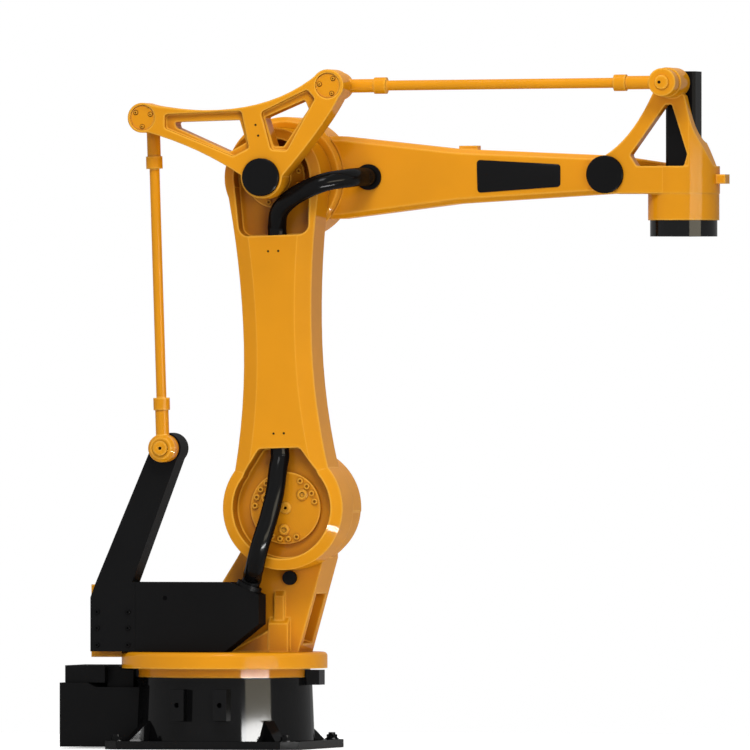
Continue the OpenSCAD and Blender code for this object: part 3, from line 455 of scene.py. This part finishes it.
def spline(p, steps):
    """Smooth run through the points."""
    out = []
    for i in range(len(p) - 1):
        a, b, c, d = p[max(i - 1, 0)], p[i], p[i + 1], p[min(i + 2, len(p) - 1)]
        for k in range(steps + (i == len(p) - 2)):
            t = k / steps
            out.append((b * 2 + (c - a) * t + (a * 2 - b * 5 + c * 4 - d) * t * t
                        + (b * 3 - a - c * 3 + d) * t ** 3) / 2)
    return out


def tube(name, run, first, last, sides=40):
    """A round hose along a part of a run."""
    bm = bmesh.new()
    loops = []
    top = len(run) - 1
    for i in range(first, last + 1):
        d = (run[min(i + 1, top)] - run[max(i - 1, 0)]).normalized()
        u = Vector((1, 0, -1)).cross(d).normalized()
        v = d.cross(u)
        loop = []
        for k in range(sides):
            a = 2 * math.pi * k / sides
            p = run[i] + u * HOSE_R * math.cos(a) + v * HOSE_R * math.sin(a)
            loop.append(bm.verts.new(p * MM))
        loops.append(loop)
    skin(bm, loops)
    return put(name, bm, M_RUBBER)


def lower_hose():
    """From the clamp on the cover, out over the window's rim and up into its top edge."""
    slope = math.atan2(SLOPE_DROP, SLOPE_RUN)
    out = Vector((math.sin(slope), 0, math.cos(slope)))
    clamp = Vector((COVER_END - SLOPE_RUN / 2, COVER_FACE + COVER_DEPTH / 2,
                    COVER_TOP - SLOPE_DROP / 2))
    start = clamp + out * (HOSE_R / 2 + HOSE_GAP)
    end = (Vector((SHOULDER[0], HOSE_IN, SHOULDER[1])) + ARM_UP * (SHOULDER_EDGE - HOSE_GAP)
           + Vector((-HOSE_R / 4, 0, 0)))
    leave = Vector((165, -190, 677))
    arrive = Vector((280, -242, 1080))
    route = [
        start,
        start + out * LEAD / 2,
        start + out * LEAD * 1.4,
        leave,
        Vector((181, -240, 683)),
        Vector((197, -281, 700)),
        Vector((214, -306, 745)),
        Vector((233, -311, 808)),
        Vector((256, -285, 900)),
        Vector((275, -262, 1000)),
        arrive,
        end - ARM_UP * LEAD * 2,
        end - ARM_UP * LEAD,
        end,
    ]
    run = spline(route, STEPS)
    hose = tube("lower_hose_smooth", run, 0, len(run) - 1)
    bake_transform(hose)
    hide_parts("lower_hose")


def upper_hose():
    """From the window's lower edge, around the rocker's hub and into the upper arm's socket."""
    r = HOSE_R
    ex, ez = ELBOW
    start = (Vector((ex, HOSE_IN, ez)) - ARM_UP * (ELBOW_EDGE - HOSE_GAP)
             + Vector((r / 5, 0, 0)))
    end = Vector((ex + SOCKET_AT * math.cos(RISE), SOCKET_FACE - HOSE_GAP,
                  ez + SOCKET_AT * math.sin(RISE)))
    leave = start + ARM_UP * LEAD * 2
    route = [
        start,
        start + ARM_UP * LEAD,
        leave,
        Vector((ex + HUB_R * 0.15, HOSE_OVER - r * 0.3, ez - HUB_R * 0.53)),
        Vector((ex + HUB_R * 0.46, HOSE_RIM + r * 0.25, ez - HUB_R * 0.29)),
        Vector((ex + HUB_R * 0.92, HOSE_RIM + r * 0.05, ez - HUB_R * 0.09)),
        Vector((ex + HUB_R * 1.28, HOSE_RIM + r * 2.2, ez - HUB_R * 0.01)),
        end - Vector((r * 0.25, LEAD * 3.4, 0)),
        end - Vector((0, LEAD * 2, 0)),
        end - Vector((0, LEAD, 0)),
        end,
    ]
    run = spline(route, STEPS)
    split = STEPS * SEAM_POINT
    low = tube("upper_hose_low", run, 0, split)
    high = tube("upper_hose_high", run, split, len(run) - 1)
    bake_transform(low)
    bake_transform(high)
    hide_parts("upper_hose_a")
    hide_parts("upper_hose_b")


lower_hose()
upper_hose()


# screws, plugs, small holes and the bare plate
def shoulder_flange():
    around = [polar(SHOULDER, 121, middle + step, FLANGE_FACE)
              for middle in (36, 152, 268.5) for step in (-24, -8, 8, 24)]
    screws("j2_screws", around, FRONT, M_ORANGE, "lower_link", r=12, h=10)
    plugs = [polar(SHOULDER, 85, angle, FLANGE_FACE) for angle in (37, 153, 267)]
    boss("j2_plugs", plugs, [(22, -1, 0), (22, 4, 0), (19, 6, 0), (19, 9, 0), (17, 10, 0),
                             (11, 10, 0), (10, 2, 0)], "lower_link")
    boss("j2_centre", [polar(SHOULDER, 0, 0, FLANGE_FACE)],
         [(24, -1, 0), (24, 1.5, 0), (22, 2.5, 0), (6, 2.5, 0), (5, -1, 0)], "lower_link")


def elbow_flange():
    around = [polar(ELBOW, 98, 15 + 30 * k, FLANGE_FACE) for k in range(12)]
    screws("elbow_screws", around, FRONT, M_ORANGE, "lower_link", r=10, h=9)


def ear_covers():
    places = []
    for ear, angles in ((REAR_EAR, (143, 23, 268)), (FRONT_EAR, (170, 53, 297))):
        places += [polar(ear, 34, angle, EAR_COVER_FACE) for angle in angles]
    screws("ear_screws", places, FRONT, M_ORANGE, "rocker_link", r=7, h=6, seat=10.5)


def post_foot():
    places = [(x, POST_FACE, z) for x in (-454, -330) for z in (530, 468, 402)]
    screws("post_screws", places, FRONT, M_CAP, "turntable", r=9, h=9)


def casting_holes():
    places = []
    for v in (995, 289):
        for u in (-20, 21):
            x, z = on_lower(u, v)
            places.append((x, LOWER_FACE, z))
    holes("lower_arm_holes", places, 4.5, "lower_link")
    web = [(ELBOW[0] + x, ROCKER_FACE, ELBOW[1] + z) for x, z in ((-22.9, 201.8), (-12.5, 160.6))]
    holes("rocker_holes", web, 4.5, "rocker_link")


def arm_plate():
    """The black plate of the upper arm, left bare."""
    corners = [(1030.6, 2282.7), (1033.8, 2155.0), (1364.8, 2178.2), (1364.8, 2264.5)]
    bm = bmesh.new()
    slab(bm, rounded(corners, 13), front_y=-69.0, back_y=-65.5, bevel=1.0)
    put("arm_plate", bm, M_PLATE, "upper_link")


def anchors():
    """Washer, nut and stud at each corner of the foot plate."""
    bm = bmesh.new()
    for x in (-ANCHOR_AT, ANCHOR_AT):
        for y in (-ANCHOR_AT, ANCHOR_AT):
            turned(bm, (x, y, FOOT_TH), UP, [(26, -0.5, 0), (26, 4, 0), (22, 4.2, 6),
                                             (22, 18, 6), (14, 18.2, 0), (13, 26, 0)])
    put("anchor_bolts", bm, M_CAP, "base")


def pins_and_cover():
    holes("front_eye_hole", [(WRIST_TOP[0] - 8, EYE_FACE, WRIST_TOP[1])], 6, "wrist")
    boss("rear_pin_cap", [(POST[0], EYE_FACE + 0.5, POST[1])],
         [(29, -1, 0), (29, 1.5, 0), (27, 3, 0), (7, 3, 0), (6, 0.5, 0)], "turntable")
    holes("rear_eye_hole", [(POST[0], EYE_FACE, POST[1])], 6, "turntable")
    holes("cover_hole", [(-181, COVER_FACE, 585)], 9, "turntable", M_PIT)


def motor_screws():
    for name, axis, seat_y, body in MOTOR_SEATS:
        places = [polar(axis, 108, 45 + 90 * k, seat_y + MOTOR_FLANGE) for k in range(4)]
        screws(name + "_motor_screws", places, REAR, M_CAP, body, r=9, h=10)


shoulder_flange()
elbow_flange()
ear_covers()
post_foot()
casting_holes()
arm_plate()
anchors()
pins_and_cover()
motor_screws()


# floor, world and light
FLOOR_LIFT = 0.45
WORLD_SPAN = (-0.2, 0.9)
WORLD_LOW = 0.24
WORLD_HIGH = 0.46
# sockets of a value Mix node
VALUE_FACTOR, VALUE_A, VALUE_B = 0, 2, 3


def lay_floor():
    """Pale floor, lifted to white for the camera; it keeps the shadow."""
    mesh = bpy.data.meshes.new("floor")
    bm = bmesh.new()
    bmesh.ops.create_circle(bm, cap_ends=True, segments=96, radius=3.4)
    bm.to_mesh(mesh)
    bm.free()
    floor = bpy.data.objects.new("floor", mesh)
    floor.location.z = -0.0005
    scene.collection.objects.link(floor)
    n = Nodes("floor_white")
    n.feed(n.tint(n.noise(1.5), (0.86, 0.86, 0.86, 1), (0.9, 0.9, 0.9, 1)), "Base Color")
    n.set(Roughness=0.9, Emission_Color=(1, 1, 1, 1))
    path = n.add("ShaderNodeLightPath")
    n.feed(n.fade(path.outputs["Is Camera Ray"], (0, 1), high=FLOOR_LIFT), "Emission Strength")
    dress(floor, n.mat)


def set_world():
    """Soft light from above, white where it is seen directly, in gloss or through glass."""
    world = bpy.data.worlds.new("studio")
    scene.world = world
    world.use_nodes = True
    tree = world.node_tree
    tree.nodes.clear()
    out = tree.nodes.new("ShaderNodeOutputWorld")
    sky = tree.nodes.new("ShaderNodeBackground")
    sky.inputs["Color"].default_value = (1, 1, 1, 1)
    coord = tree.nodes.new("ShaderNodeTexCoord")
    split = tree.nodes.new("ShaderNodeSeparateXYZ")
    fade = tree.nodes.new("ShaderNodeMapRange")
    fade.inputs["From Min"].default_value = WORLD_SPAN[0]
    fade.inputs["From Max"].default_value = WORLD_SPAN[1]
    fade.inputs["To Min"].default_value = WORLD_LOW
    fade.inputs["To Max"].default_value = WORLD_HIGH
    tree.links.new(coord.outputs["Generated"], split.inputs["Vector"])
    tree.links.new(split.outputs["Z"], fade.inputs["Value"])
    path = tree.nodes.new("ShaderNodeLightPath")
    strength = fade
    for ray in ("Is Camera Ray", "Is Glossy Ray", "Is Transmission Ray"):
        white = tree.nodes.new("ShaderNodeMix")
        white.inputs[VALUE_B].default_value = 1.0
        tree.links.new(path.outputs[ray], white.inputs[VALUE_FACTOR])
        tree.links.new(strength.outputs[0], white.inputs[VALUE_A])
        strength = white
    tree.links.new(strength.outputs[0], sky.inputs["Strength"])
    tree.links.new(sky.outputs["Background"], out.inputs["Surface"])


def soft_light(name, az, el, dist, power, size=(3.0, 3.0), at=(0.6, 0, 1.3),
               lights=True, shows=True, tone=(1, 1, 1)):
    """Area lamp; lights is its diffuse light, shows its reflection in gloss."""
    lamp = bpy.data.lights.new(name, "AREA")
    lamp.shape = "RECTANGLE"
    lamp.size, lamp.size_y = size
    lamp.energy = power
    lamp.color = tone
    obj = bpy.data.objects.new(name, lamp)
    scene.collection.objects.link(obj)
    stand(obj, at, az, el, dist)
    obj.visible_diffuse = lights
    obj.visible_glossy = shows


lay_floor()
set_world()
soft_light("key", az=8, el=42, dist=9, power=330)
soft_light("fill", az=30, el=4, dist=11, power=225, shows=False)
soft_light("low_strip", az=55, el=0, dist=2.6, power=130, size=(1.8, 0.22), at=(0, 0, 0.140),
           lights=False)
soft_light("tall_strip", az=58, el=0, dist=9, power=380, size=(6.0, 2.1), at=(0.6, 0, 1.36),
           lights=False, tone=(1, 0.90, 0.68))
soft_light("top", az=10, el=78, dist=6, power=60)
soft_light("rear", az=200, el=30, dist=9, power=260, shows=False)

bpy.context.view_layer.update()
